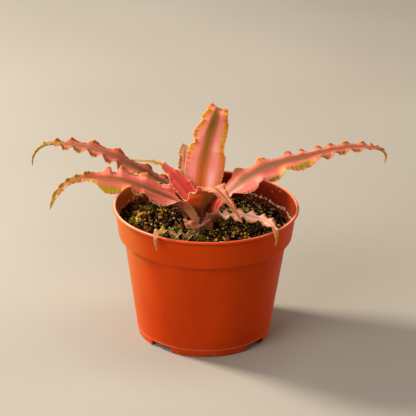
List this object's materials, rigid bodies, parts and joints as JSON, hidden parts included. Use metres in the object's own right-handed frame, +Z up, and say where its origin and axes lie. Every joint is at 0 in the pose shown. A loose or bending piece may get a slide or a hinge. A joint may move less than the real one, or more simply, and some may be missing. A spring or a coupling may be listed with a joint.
{
  "type": "cryptanthus in a nursery pot",
  "caption": "Small rosette plant with long wavy, finely toothed pink and olive leaves, growing in a round tapered plastic nursery pot with a tall collar.",
  "frame": {"origin": "centre of the bounding box's bottom face, where the pot's axis meets the surface that the pot stands on", "axes": "+Z up along the pot's axis, +X to the viewer's right and -Y towards the viewer as the picture shows the plant"},
  "size_m": [0.2007, 0.1051, 0.1266],
  "materials": {
    "pot": "satin terracotta-coloured moulded plastic",
    "soil": "loose dark potting mix with pale grains and moss",
    "stem": "dry brown crown with leaf scars",
    "leaf_pink": "satin live leaf, pink with olive margins and a brown middle band",
    "leaf_rust": "scurfy rust-brown leaf underside"
  },
  "bodies": {
    "root": {"pot": "pot", "soil": "soil", "stem": "stem", "leaf_left_upper": "leaf_pink", "leaf_left_lower": "leaf_pink", "leaf_right": "leaf_pink", "leaf_upright": "leaf_pink", "leaf_young_left": "leaf_pink", "leaf_behind": "leaf_pink", "leaf_front": "leaf_rust", "leaf_front_right": "leaf_pink", "leaf_front_left": "leaf_pink", "leaf_back": "leaf_pink", "leaf_old_stub": "leaf_rust"}
  },
  "joints": []
}
